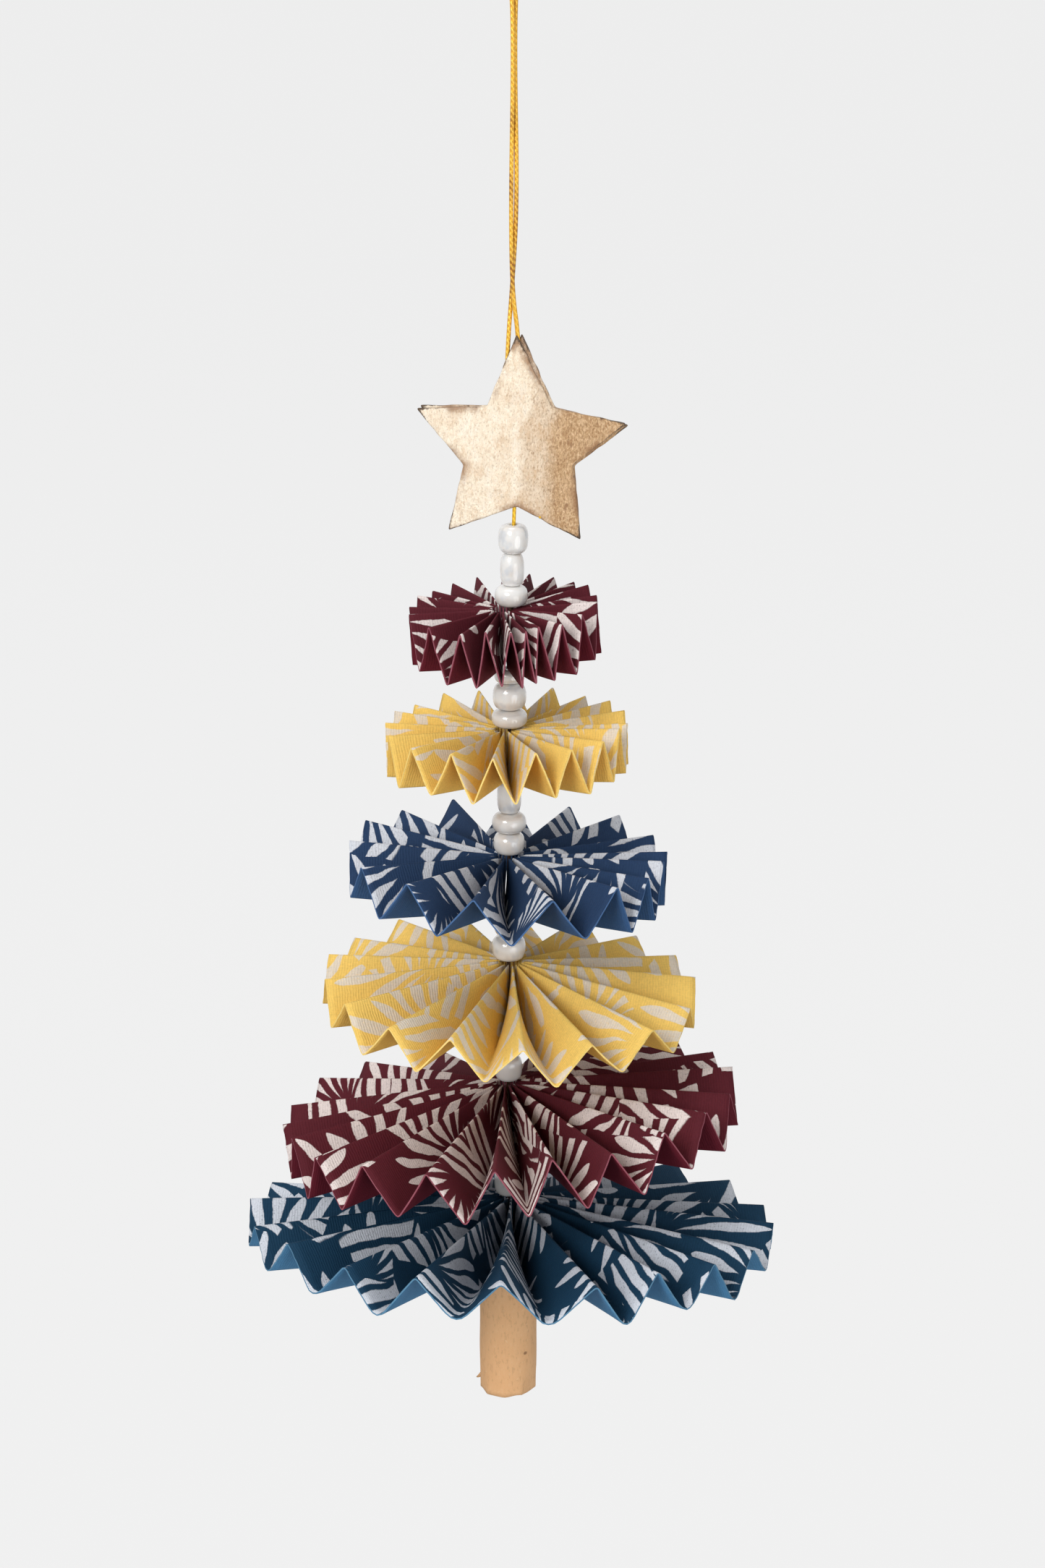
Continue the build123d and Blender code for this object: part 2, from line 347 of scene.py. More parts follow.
hangingLoop = {
    "diameter": 0.6,
    "length": 137.0,
    "gold": linear(230, 174, 58),
    "paintedHighlight": linear(250, 206, 96),
    "brown": linear(158, 104, 38),
    "twist": 0.8,                       # distance from one turn of the twist to the next
    "route": [
        (-0.20, 0.0, -67.5), (-0.02, 0.0, -61.5), (0.55, 0.40, -54.6), (1.25, 0.05, -43.0),
        (0.90, 0.40, -24.0), (1.15, 0.25, -14.0), (2.1, 0.0, -6.0), (2.1, 0.0, 0.3),
        (-2.1, 0.0, 0.3), (-2.1, 0.0, -6.0), (0.50, -0.25, -14.0), (0.75, -0.40, -24.0),
        (0.40, -0.05, -43.0), (0.55, -0.40, -54.6), (1.40, 0.0, -60.8), (1.60, 0.0, -66.0),
    ],
}


# Metal foil wound round a core, as on both threads. Grain scales are grains to a metre, and a pair
# of shares says where between 0 and 1 a grain begins to show and where it shows in full.
foil = {
    "roughness": 0.34,
    "metallic": 0.55,
    "slant": 0.9,                       # how steeply the turns of foil lie
    "bandGrain": (300.0, 300.0, 105.0),
    "bandShares": (0.44, 0.60),         # bands in which the core shows brown
    "grooves": (-0.9, 0.5),             # part of a turn that is a groove, from -1 to 1
    # share of the lighter colour on the crest of each turn: painted highlight
    "brownOnTop": 0.35,                 # how brown a band stays outside the grooves
    "brightOnTop": 0.6,
    "relief": 0.03,
    "reliefStrength": 0.5,
}


def threadMaterial(name, settings):
    # slanted turns with a painted highlight on their crests, and longer bands where the core shows brown
    material, tree, shader = newMaterial(name, foil["roughness"], foil["metallic"])
    place = objectPlace(tree)
    parts = parted(tree, place)
    slant = sums(tree, "MULTIPLY_ADD", parts["X"], foil["slant"], parts["Z"])
    turns = sums(tree, "SINE", sums(tree, "MULTIPLY", slant, 2 * math.pi / (settings["twist"] * mm)))
    bands = grain(tree, stretched(tree, place, foil["bandGrain"]), 1.0, detail=1.0)
    grooves = ease(tree, turns, *foil["grooves"], 1.0, foil["brownOnTop"])
    brown = sums(tree, "MULTIPLY", ease(tree, bands, *foil["bandShares"]), grooves)
    # painted highlight along the crest of each turn
    paintedHighlight = ease(tree, turns, 0.0, 1.0, 0.0, foil["brightOnTop"])
    colour = blendColours(tree, paintedHighlight, settings["gold"], settings["paintedHighlight"])
    colour = blendColours(tree, brown, colour, settings["brown"])
    # painted shade: the thread is darker between the given heights, where beads and rings cover it
    if "dim" in settings:
        low, high = settings["dimBetween"]
        below = sums(tree, "LESS_THAN", parts["Z"], high * mm)
        shaded = sums(tree, "MULTIPLY", below, sums(tree, "GREATER_THAN", parts["Z"], low * mm))
        colour = blendColours(tree, shaded, colour, settings["dim"])
    plug(tree, colour, shader.inputs["Base Color"])
    raised(tree, shader, turns, foil["relief"] * mm, foil["reliefStrength"])
    return material


def makeHangingLoop():
    curve = bpy.data.curves.new("hangingThread", "CURVE")
    curve.dimensions = "3D"
    curve.bevel_depth = hangingLoop["diameter"] / 2 * mm
    curve.bevel_resolution = 3
    curve.use_fill_caps = True
    spline = curve.splines.new("NURBS")
    spline.points.add(len(hangingLoop["route"]) - 1)
    for point, (x, y, z) in zip(spline.points, hangingLoop["route"]):
        point.co = (x * mm, y * mm, z * mm, 1.0)
    spline.order_u = 3
    spline.use_endpoint_u = True
    spline.resolution_u = 12
    thread = bpy.data.objects.new("hangingThread", curve)
    bpy.context.collection.objects.link(thread)
    curve.materials.append(threadMaterial("goldThread", hangingLoop))
    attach(thread, "root")
    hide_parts("hanging_loop")


makeHangingLoop()
print("hanging loop made")


# Star: two layers of gilded card, cut by hand, softly bent along two upright lines

star = {
    "centre": (1.3, -75.6),             # x and z
    "tipRadius": 14.8,
    "notchRadius": 7.3,
    "turn": 4.0,                        # degrees
    # how far each corner strays from the even star, out and round
    "tipStrays": [(0.4, -1.2), (-0.2, 0.9), (0.4, -0.4), (-0.4, 0.0), (-0.4, 0.0)],
    "notchStrays": [(-0.3, 0.0), (0.4, -0.4), (0.5, -0.4), (0.2, -0.4), (-0.4, -0.5)],
    "backTurn": 1.4,
    "backShift": 0.3,
    "bends": [(1.8, 7.0), (5.3, 9.0)],  # x of each upright line, and its angle in degrees
    "bendWidth": 1.6,
    "cardThickness": 0.5,
    "glueLine": 0.005,                  # each layer stays this far from the middle
    "rimRounding": 0.10,                # how much the cut rim is thinner than the card, on each side
    "cornerRounding": 0.35,
    "cutWander": 0.09,                  # how far the scissors wander off the line
    "wanderPace": 6.0,                  # wanders along one side
    "sideSteps": 22,
    "rings": 20,                        # of mesh, from the middle out
    "ringCrowding": 1.5,                # above 1 they crowd towards the rim
    # cream is the lit gilding, and gold is the same gilding in the painted shade right of the bends
    "cream": linear(249, 233, 209),
    "pale": linear(255, 248, 236),
    "gold": linear(186, 147, 104),
    "tan": linear(214, 178, 138),
    "sand": linear(240, 208, 168),
    "brown": linear(146, 102, 66),
    "edge": linear(98, 80, 64),
    "bendShadeSteps": [(2.2, 3.8, 0.42), (5.4, 8.0, 0.58)],      # from x, to x, and how much painted shade each adds
    "topArmSlant": -0.28,               # the painted shade keeps out of the top arm, by this much for each mm up
    "blotches": [                       # x, z and reach of the larger brown marks
        (-0.7, -63.0, 1.2), (-3.15, -68.4, 1.1), (3.7, -69.7, 1.5), (3.5, -76.2, 0.8),
        (8.2, -75.1, 1.3), (12.6, -71.8, 1.2), (-10.8, -67.6, 1.0), (7.6, -83.6, 1.0),
    ],
}


def starCorners(turn, shift):
    corners = []
    for i in range(5):
        for radius, stray, base in ((star["tipRadius"], star["tipStrays"][i], 72.0 * i),
                                    (star["notchRadius"], star["notchStrays"][i], 72.0 * i + 36.0)):
            angle = math.radians(base + turn)
            reach = radius + stray[0]
            x = reach * math.sin(angle) + stray[1] * math.cos(angle)
            z = reach * math.cos(angle) - stray[1] * math.sin(angle)
            corners.append(Vector((star["centre"][0] + shift + x, star["centre"][1] + z)))
    return corners


def starEdge(corners, seed):
    # the cut line: straight sides that wander a little, with each corner slightly rounded
    line = []
    count = len(corners)
    for i, corner in enumerate(corners):
        before, after = corners[i - 1], corners[(i + 1) % count]
        start = corner + (before - corner).normalized() * star["cornerRounding"]
        end = corner + (after - corner).normalized() * star["cornerRounding"]
        for share in (0.0, 0.33, 0.67, 1.0):
            line.append(onBend((start, corner, end), share))
        side = after + (corner - after).normalized() * star["cornerRounding"]
        across = Vector((after.y - corner.y, corner.x - after.x)).normalized()
        for step in range(1, star["sideSteps"]):
            share = step / star["sideSteps"]
            fade = math.sin(math.pi * share)
            stray = noise.noise(Vector((i * 3.7 + seed, share * star["wanderPace"], 0.4))) * 1.6
            line.append(end.lerp(side, share) + across * stray * fade * star["cutWander"])
    return line


def starBend(x):
    # distance back from the flat, the bends spread over a little width
    back = 0.0
    for lineX, angle in star["bends"]:
        over = x - lineX
        half = star["bendWidth"] / 2
        if over > half:
            back += over * math.tan(math.radians(angle))
        elif over > -half:
            back += (over + half) ** 2 / (4 * half) * math.tan(math.radians(angle))
    return back


def starLayer(name, node, turn, shift, front, back, seed):
    corners = starCorners(turn, shift)
    edge = starEdge(corners, seed)
    count = len(edge)
    middle = Vector((star["centre"][0] + shift, star["centre"][1]))
    arm = star["tipRadius"] - star["notchRadius"]
    points = []
    depths = []
    reaches = []
    for y, rounding in ((front, star["rimRounding"]), (back, -star["rimRounding"])):
        for ring in range(star["rings"] + 1):
            share = 1 - (1 - ring / star["rings"]) ** star["ringCrowding"]
            lift = rounding if ring == star["rings"] else 0.0
            for place in edge:
                spot = middle.lerp(place, share)
                points.append((spot.x, y + lift + starBend(spot.x), spot.y))
                depths.append(nearestSide(spot, corners))
                over = (spot - middle).length - star["notchRadius"]
                reaches.append(max(0.0, over / arm) ** 3)
    rows = star["rings"] + 1
    half = rows * count
    faces = gridFaces(rows, count, True)
    faces += gridFaces(rows, count, True, start=half, flip=True)
    rim = (rows - 1) * count
    for i in range(count):
        j = (i + 1) % count
        faces.append((rim + i, rim + j, half + rim + j, half + rim + i))
    piece = meshPiece(name, points, faces)
    for label, values in (("cutDistance", depths), ("tipReach", reaches)):
        layer = piece.data.attributes.new(label, "FLOAT", "POINT")
        layer.data.foreach_set("value", values)
    piece.data.materials.append(starMaterial(name + "Gilding"))
    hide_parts(node)


def nearestSide(spot, corners):
    distances = []
    for start, end in zip(corners, corners[1:] + corners[:1]):
        side = end - start
        share = max(0.0, min(1.0, (spot - start).dot(side) / side.length_squared))
        distances.append((spot - start - side * share).length)
    return min(distances)


# Gold leaf rubbed over the star's card. Each layer of marks has its place in a grain, from where
# it begins to show to where it shows in full, and the strengths are shares of its colour.
gilding = {
    "roughness": 0.34,
    "metallic": 0.5,
    "cloudGrain": 210.0,
    "cloudEdge": 0.003,                 # metres that the clouds move the steps of painted shade
    "streakGrain": (1500.0, 1500.0, 620.0),
    "crinkleGrain": (4200.0, 4200.0, 2600.0),
    "wrinkleGrain": (1000.0, 1000.0, 430.0),
    "tipWear": -0.35,                   # how much further the wear reaches in at the tips
    "worn": (-0.68, -0.44),
    "rubbed": (-0.40, 0.55),
    "rubbedClouds": (0.46, 0.62),
    "rubbedStrength": 0.75,
    "tanClouds": (0.50, 0.66),
    "tanStrength": 0.42,
    "fleckStrength": (0.30, 0.32),      # added in the painted shade of the bends, and everywhere
    "foldStrength": (0.20, 0.30),
    "foldDark": (0.52, 0.60),
    "foldGlints": (0.40, 0.48),
    "fleckGlints": (0.50, 0.62),
    "fleckDark": (0.36, 0.46),
    "streaked": (0.51, 0.62),
    "blotchRagged": 0.14,
    "blotch": (0.58, 0.72),
    "blotchStrength": 0.7,
    "blotchSoft": 0.3,
    "reliefShares": (0.5, 0.4, 1.2),    # of streaks, crinkle and wrinkles
    "relief": 0.22,
}


def marks(tree, value, shares, strength, rising=True):
    # where a grain shows, times a strength; falling marks show where the grain is low
    ends = (0.0, 1.0) if rising else (1.0, 0.0)
    return sums(tree, "MULTIPLY", ease(tree, value, *shares, *ends), strength)


def attribute(tree, name):
    node = tree.nodes.new("ShaderNodeAttribute")
    node.attribute_name = name
    return node.outputs["Fac"]


def paintedBendShade(tree, parts, clouds):
    # painted shade, in steps to the right of the bends, which reaches less far into the top arm
    over = sums(tree, "MULTIPLY_ADD", clouds, gilding["cloudEdge"], parts["X"])
    height = sums(tree, "MAXIMUM", sums(tree, "SUBTRACT", parts["Z"], star["centre"][1] * mm), 0.0)
    side = sums(tree, "MULTIPLY_ADD", height, star["topArmSlant"], over)
    steps = [ease(tree, side, start * mm, end * mm, 0.0, gold) for start, end, gold in star["bendShadeSteps"]]
    return sums(tree, "ADD", *steps)


def starMaterial(name):
    # cream on the left and painted shade in steps to the right of the bends, a fine crinkled grain of
    # painted glints and brown flecks, and thin dark worn edges, most of all at the tips
    material, tree, shader = newMaterial(name, gilding["roughness"], gilding["metallic"])
    place = objectPlace(tree)
    parts = parted(tree, place)
    clouds = grain(tree, place, gilding["cloudGrain"], detail=4.0)
    streaks = grain(tree, stretched(tree, place, gilding["streakGrain"]), 1.0, detail=5.0, roughness=0.75)
    crinkle = grain(tree, stretched(tree, place, gilding["crinkleGrain"]), 1.0, detail=3.0, roughness=0.7)
    wrinkles = grain(tree, stretched(tree, place, gilding["wrinkleGrain"]), 1.0, detail=6.0, roughness=0.8)
    bendShade = paintedBendShade(tree, parts, clouds)
    # painted shade: cream turns to the darker gold to the right of the bends
    colour = blendColours(tree, bendShade, star["cream"], star["gold"])
    tanned = ease(tree, clouds, *gilding["tanClouds"], 0.0, gilding["tanStrength"])
    colour = blendColours(tree, tanned, colour, star["tan"])
    # colour of the painted glints, pale in the light and sand in the painted shade
    paintedHighlight = blendColours(tree, bendShade, star["pale"], star["sand"])
    flecks = sums(tree, "MULTIPLY_ADD", bendShade, *gilding["fleckStrength"])
    folds = sums(tree, "MULTIPLY_ADD", bendShade, *gilding["foldStrength"])
    ragged = sums(tree, "MULTIPLY_ADD", streaks, -1.0, attribute(tree, "cutDistance"))
    ragged = sums(tree, "MULTIPLY_ADD", attribute(tree, "tipReach"), gilding["tipWear"], ragged)
    cloudy = ease(tree, clouds, *gilding["rubbedClouds"])
    rubbed = marks(tree, ragged, gilding["rubbed"], cloudy, rising=False)
    # the pale marks are painted glints of the crinkled foil; the tan and brown ones are the gilding's own
    # flecks
    for share, over in (
        (marks(tree, wrinkles, gilding["foldDark"], folds), star["tan"]),
        (marks(tree, wrinkles, gilding["foldGlints"], folds, rising=False), paintedHighlight),
        (marks(tree, crinkle, gilding["fleckGlints"], flecks), paintedHighlight),
        (marks(tree, streaks, gilding["streaked"], flecks), star["tan"]),
        (marks(tree, crinkle, gilding["fleckDark"], flecks, rising=False), star["brown"]),
        (sums(tree, "MULTIPLY", rubbed, gilding["rubbedStrength"]), star["brown"]),
    ):
        colour = blendColours(tree, share, colour, over)
    for x, z, reach in star["blotches"]:
        near = ease(tree, frontDistance(tree, parts, (x, z)), 0.0, reach * mm, 1.0, 0.0)
        uneven = sums(tree, "MULTIPLY_ADD", near, gilding["blotchRagged"], streaks)
        spot = ease(tree, uneven, *gilding["blotch"], 0.0, gilding["blotchStrength"])
        spot = sums(tree, "MULTIPLY", spot, ease(tree, near, 0.0, gilding["blotchSoft"]))
        colour = blendColours(tree, spot, colour, star["brown"])
    worn = ease(tree, ragged, *gilding["worn"], 1.0, 0.0)
    plug(tree, blendColours(tree, worn, colour, star["edge"]), shader.inputs["Base Color"])
    relief = 0.0
    for share, value in zip(gilding["reliefShares"], (streaks, crinkle, wrinkles)):
        relief = sums(tree, "MULTIPLY_ADD", value, share, relief)
    raised(tree, shader, relief, gilding["relief"] * mm)
    return material


thick = star["cardThickness"]
glue = star["glueLine"]
backTurn = star["turn"] + star["backTurn"]
starLayer("starFront", "star_front", star["turn"], 0.0, -thick, -glue, 1.0)
starLayer("starBack", "star_back", backTurn, star["backShift"], glue, thick, 7.0)
print("star made")


# Beads: drilled pearl glass, each the size that its place in the model has

beads = {
    "count": 16,
    "bore": 1.1,
    "lip": 0.35,                        # width of the flat round the hole
    "holeRim": [(0.08, 0.02), (0.0, 0.12)],     # how far the hole's rounded edge is out, and down
    "around": 48,
    "profile": 20,
    "unevenness": 0.05,
    "squareness": 2.5,                  # 2 is a plain ellipse, more is a fuller barrel
    "pearl": linear(234, 232, 229),
    "warm": linear(216, 207, 198),
    "cool": linear(196, 202, 210),
    "warmShares": (0.42, 0.68, 0.0, 0.8),       # from and to in the grain, then in strength
    "coolShares": (0.54, 0.72, 0.0, 0.6),
    "roughness": 0.17,
    "coatRoughness": 0.10,
    "glow": 0.25,                       # share of the light that goes into the glass
    "glowReach": (0.0016, 0.0014, 0.0012),      # metres, for red, green and blue
    "relief": 0.06,
}


def beadMaterial():
    # pearl coating: nearly white, soft clouds of warm and cool, and a clear gloss on top
    material, tree, shader = newMaterial("pearlGlass", beads["roughness"])
    place = objectPlace(tree)
    clouds = grain(tree, place, 300.0, detail=2.0)
    tint = grain(tree, place, 460.0, detail=2.0)
    colour = blendColours(tree, ease(tree, clouds, *beads["warmShares"]), beads["pearl"], beads["warm"])
    colour = blendColours(tree, ease(tree, tint, *beads["coolShares"]), colour, beads["cool"])
    plug(tree, colour, shader.inputs["Base Color"])
    shader.inputs["Specular IOR Level"].default_value = 1.0
    shader.inputs["Coat Weight"].default_value = 1.0
    shader.inputs["Coat Roughness"].default_value = beads["coatRoughness"]
    shader.inputs["Subsurface Weight"].default_value = beads["glow"]
    shader.inputs["Subsurface Radius"].default_value = beads["glowReach"]
    raised(tree, shader, clouds, beads["relief"] * mm, 0.5)
    return material


def beadProfile(width, height):
    # radius and height all the way round the glass: up the outside, and down the hole
    boreRadius = beads["bore"] / 2
    flatRadius = boreRadius + beads["lip"]
    crown = width / 2 - flatRadius
    power = 2 / beads["squareness"]
    line = []
    for step in range(beads["profile"] + 1):
        angle = -math.pi / 2 + math.pi * step / beads["profile"]
        bulge = max(math.cos(angle), 0.0) ** power
        rise = math.copysign(abs(math.sin(angle)) ** power, angle)
        line.append((flatRadius + crown * bulge, height / 2 * rise))
    line += [(boreRadius + out, height / 2 - down) for out, down in beads["holeRim"]]
    line += [(boreRadius + out, down - height / 2) for out, down in reversed(beads["holeRim"])]
    return line


def makeBeads():
    material = beadMaterial()
    count = beads["around"]
    flatRadius = beads["bore"] / 2 + beads["lip"]
    for number in range(1, beads["count"] + 1):
        node = f"bead_{number:02d}"
        low, high = boxInMm(node)
        centre = (low + high) / 2
        line = beadProfile(high.x - low.x, high.z - low.z)
        points = []
        for radius, z in line:
            for i in range(count):
                turn = 2 * math.pi * i / count
                uneven = noise.noise(Vector((math.cos(turn), math.sin(turn), z * 0.4 + number * 5.1)))
                r = radius
                if radius > flatRadius:
                    r -= (0.5 + 0.5 * uneven) * beads["unevenness"]
                points.append((centre.x + r * math.cos(turn), centre.y + r * math.sin(turn), centre.z + z))
        faces = gridFaces(len(line), count, True)
        last = (len(line) - 1) * count
        faces += [(last + i, last + (i + 1) % count, (i + 1) % count, i) for i in range(count)]
        piece = meshPiece(f"bead{number:02d}", points, faces)
        piece.data.materials.append(material)
        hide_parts(node)


makeBeads()
print("beads made")


# Rings: each one strip of printed paper, folded to and fro and drawn in at its inner edge

paper = {
    "thickness": 0.2,
    "hubRadius": 1.5,                   # inner ends of the folds
    "seatRadius": 1.7,                  # the bead above rests on this much of the hub
    "seatGap": 0.06,
    "beadGap": 0.02,
    "waveStep": 2.4,                    # radians that the rim's wave goes on from fold to fold
    "creaseWidth": 0.32,                # how far each crease is rounded, along the paper
    "crisp": (0.45, 0.7),               # the same at the rim, for folds upstanding and hanging
    "soft": (0.6, 2.1),
    "creaseShare": 0.24,                # the most of a panel that a crease takes up
    "panelSteps": 7,
    "outwardSteps": 22,
    "bow": 0.22,                        # how far a panel bows between its folds
    "edgeWander": 0.10,                 # how uneven the cut outer edge is
}

# Folds is the number of upstanding folds, and frontFolds holds the turns of those read from the
# front, in degrees. Lift, wave and the tilts set how the rim stands, and above is the bead on top.
rings = [
    {
        "name": "ring1Maroon", "node": "ring_1_maroon", "above": "bead_03",
        "paper": "maroon", "creases": "crisp",
        "radius": 12.7, "depth": 8.2, "folds": 21, "lift": 0.8, "wave": 0.25,
        "tiltForward": 3.2, "tiltSide": 3.8, "offset": -0.40,
        "frontFolds": (-82, -50, -26, -10, 5, 14, 22, 38, 56, 82),
    },
    {
        "name": "ring2Yellow", "node": "ring_2_yellow", "above": "bead_06",
        "paper": "yellow", "creases": "crisp",
        "radius": 16.4, "depth": 7.4, "folds": 19, "lift": 1.2, "wave": 0.3,
        "tiltForward": 0.3, "tiltSide": 1.7, "offset": -0.15,
        "frontFolds": (-75, -50, -26, -6, 14, 32, 52, 68, 84),
    },
    {
        "name": "ring3Navy", "node": "ring_3_navy", "above": "bead_09",
        "paper": "navy", "creases": "crisp",
        "radius": 21.7, "depth": 8.1, "folds": 16, "lift": 1.7, "wave": 0.3,
        "tiltForward": 0.4, "tiltSide": -2.1, "offset": -0.20,
        "frontFolds": (-92, -65, -38, -12, 16, 42, 60, 76, 90),
    },
    {
        "name": "ring4Yellow", "node": "ring_4_yellow", "above": "bead_11",
        "paper": "yellow", "creases": "crisp",
        "radius": 25.7, "depth": 7.3, "folds": 17, "lift": -1.5, "wave": 0.35,
        "tiltForward": 1.5, "tiltSide": -2.6, "offset": 0.20,
        "frontFolds": (-80, -60, -39, -18, 4, 25, 48, 73, 95),
    },
    {
        "name": "ring5Maroon", "node": "ring_5_maroon", "above": "bead_14",
        "paper": "maroon", "creases": "crisp",
        "radius": 31.5, "depth": 8.5, "folds": 21, "lift": -1.4, "wave": 0.4,
        "tiltForward": -3.6, "tiltSide": 5.9, "offset": 0.10,
        "frontFolds": (-84, -70, -56, -38, -20, -3, 11, 26, 42, 59, 76, 94),
    },
    {
        "name": "ring6Teal", "node": "ring_6_teal", "above": "bead_16",
        "paper": "teal", "creases": "soft",
        "radius": 36.8, "depth": 8.4, "folds": 20, "lift": -1.0, "wave": 0.45,
        "tiltForward": -7.6, "tiltSide": -1.6, "offset": 0.30,
        "frontFolds": (-74, -55, -37, -20, -2, 18, 32, 48, 64, 84),
    },
]

# the underside colours are the paper's colour lightened as painted light from below, most of all on navy and
# teal
papers = {
    "maroon": {
        "slot": "maroon_paper", "ground": linear(89, 30, 40), "ink": linear(236, 224, 220),
        "under": linear(98, 27, 41), "cut": linear(146, 82, 94),
    },
    "yellow": {
        "slot": "yellow_paper", "ground": linear(243, 203, 108), "ink": linear(226, 214, 198),
        "under": linear(250, 203, 104), "cut": linear(248, 216, 130),
    },
    "navy": {
        "slot": "navy_paper", "ground": linear(38, 61, 94), "ink": linear(216, 220, 228),
        "under": linear(56, 90, 134), "cut": linear(74, 106, 150),
    },
    "teal": {
        "slot": "teal_paper", "ground": linear(23, 58, 83), "ink": linear(216, 221, 230),
        "under": linear(76, 128, 168), "cut": linear(92, 136, 166),
    },
}

# The print is a plain all-over block print: fans of tapered strokes in staggered rows, each turned
# its own way, with a group of bars behind nearly all of them
blockPrint = {
    "enlarged": 1.15,                   # the sizes below are those of the carved block before this
    "repeatAlong": 21.0,
    "repeatOut": 14.5,
    "fanBack": 5.0,                     # the fan opens from this far behind the middle of its place
    "strokes": 23,                      # in a full circle
    "fanHalf": 1.75,                    # half the fan's opening, radians
    "strokeStart": (1.9, 2.0),          # shortest distance from the fan's point, and its spread
    "strokeEnd": (10.4, 3.8),
    "strokeHalfWidth": 0.65,            # of the thinnest stroke
    "strokeSpread": 0.22,               # how much more the thickest has
    "strokeBelly": 1.8,                 # above 1 a stroke is widest in its outer half
    "strokeBlunt": 0.6,                 # below 1 its ends are blunter than a sine
    "strokeEdge": 0.12,                 # width over which the ink fades at a stroke's edge
    "fanEdge": 0.02,                    # radians
    "barPitch": 2.05,
    "barHalfWidth": 0.62,
    "barEdge": 0.07,
    "barEndEdge": 0.15,
    "barsBehind": (0.10, 0.16),         # radians past the fan's opening at which the bars begin
    "barReach": (2.2, 2.8),             # spread of the bars' ends, and how far inside the place
    "barsIn": 0.97,                     # share of fans that have bars
    "wander": 0.75,                     # slow bend of the carved lines
    "wanderGrain": 0.11,
    "edgeShake": 0.045,                 # raggedness of their edges
    "edgeGrain": 2.4,
    "firstTurn": 0.35,                  # radians that the print is turned on every ring
    "turnStep": 0.9,                    # and more for each ring down, the first one included
    "shiftStep": (41.0, 23.0),          # mm that it is moved along and out for each ring down
    "inkShares": (0.31, 0.45, 0.35, 0.96),      # thin ink: from and to in the grain, then in cover
}

# Laid handmade paper: ribs, fibres along and across the strip, and soft clouds
handmade = {
    "topRoughness": 0.72,
    "underRoughness": 0.78,
    "shine": 0.15,
    "ribPitch": 0.38,
    "ribWobble": 0.5,
    "fibreGrain": (1.7, 6.5, 1.0),
    "crossingGrain": (5.5, 1.2, 1.0),
    "cloudGrain": 0.22,
    "grainTones": (0.04, 0.55, 0.42, 0.24),     # what ribs, fibres, crossing and clouds add
    "tone": 0.395,                      # to this, which comes to 1 where each grain is at its middle
    "fibreRelief": 1.6,
    "ribRelief": 0.36,
    "relief": 0.035,
    "reliefStrength": 0.9,
}


def shaken(tree, place, scale, amount):
    # the place moved about a little by noise
    shake = tree.nodes.new("ShaderNodeTexNoise")
    plug(tree, place, shake.inputs["Vector"])
    shake.inputs["Scale"].default_value = scale
    shake.inputs["Detail"].default_value = 2.0
    centred = tree.nodes.new("ShaderNodeVectorMath")
    centred.operation = "SUBTRACT"
    tree.links.new(shake.outputs["Color"], centred.inputs[0])
    centred.inputs[1].default_value = (0.5, 0.5, 0.5)
    moved = tree.nodes.new("ShaderNodeVectorMath")
    moved.operation = "MULTIPLY_ADD"
    tree.links.new(centred.outputs["Vector"], moved.inputs[0])
    moved.inputs[1].default_value = (amount * 4, amount * 4, 0.0)
    plug(tree, place, moved.inputs[2])
    return moved.outputs["Vector"]


def chances(tree, first, second, third=0.0):
    # three random numbers that belong to one place
    cell = tree.nodes.new("ShaderNodeCombineXYZ")
    for socket, value in zip(cell.inputs, (first, second, third)):
        plug(tree, value, socket)
    node = tree.nodes.new("ShaderNodeTexWhiteNoise")
    tree.links.new(cell.outputs[0], node.inputs["Vector"])
    parts = parted(tree, node.outputs["Color"])
    return parts["X"], parts["Y"], parts["Z"]


def inPlace(tree, value, repeat, start):
    # which repeat a value lies in, and how far from that repeat's middle
    scaled = sums(tree, "MULTIPLY_ADD", value, 1 / repeat, start)
    index = sums(tree, "FLOOR", scaled)
    rest = sums(tree, "SUBTRACT", sums(tree, "SUBTRACT", scaled, index), 0.5)
    return index, sums(tree, "MULTIPLY", rest, repeat)


def within(tree, value, limit, blur):
    # 1 below a limit, 0 above it, and blurred between
    return ease(tree, value, limit - blur, limit + blur, 1.0, 0.0)


def fanStrokes(tree, angle, radius, place, swing):
    # tapered strokes that run out from the fan's point; place is the column and row of the repeat
    stroke, off = inPlace(tree, angle, 2 * math.pi / blockPrint["strokes"], swing)
    early, late, thick = chances(tree, stroke, *place)
    shortest, spread = blockPrint["strokeStart"]
    begin = sums(tree, "MULTIPLY_ADD", early, spread, shortest)
    shortest, spread = blockPrint["strokeEnd"]
    finish = sums(tree, "MULTIPLY_ADD", late, spread, shortest)
    length = sums(tree, "SUBTRACT", finish, begin)
    outward = sums(tree, "DIVIDE", sums(tree, "SUBTRACT", radius, begin), length)
    held = sums(tree, "MINIMUM", sums(tree, "MAXIMUM", outward, 0.0), 1.0)
    belly = sums(tree, "MULTIPLY", sums(tree, "POWER", held, blockPrint["strokeBelly"]), math.pi)
    swell = sums(tree, "POWER", sums(tree, "SINE", belly), blockPrint["strokeBlunt"])
    widest = sums(tree, "MULTIPLY_ADD", thick, blockPrint["strokeSpread"], blockPrint["strokeHalfWidth"])
    halfWidth = sums(tree, "MULTIPLY", swell, widest)
    across = sums(tree, "MULTIPLY", sums(tree, "ABSOLUTE", off), radius)
    return ease(tree, sums(tree, "SUBTRACT", halfWidth, across), 0.0, blockPrint["strokeEdge"])


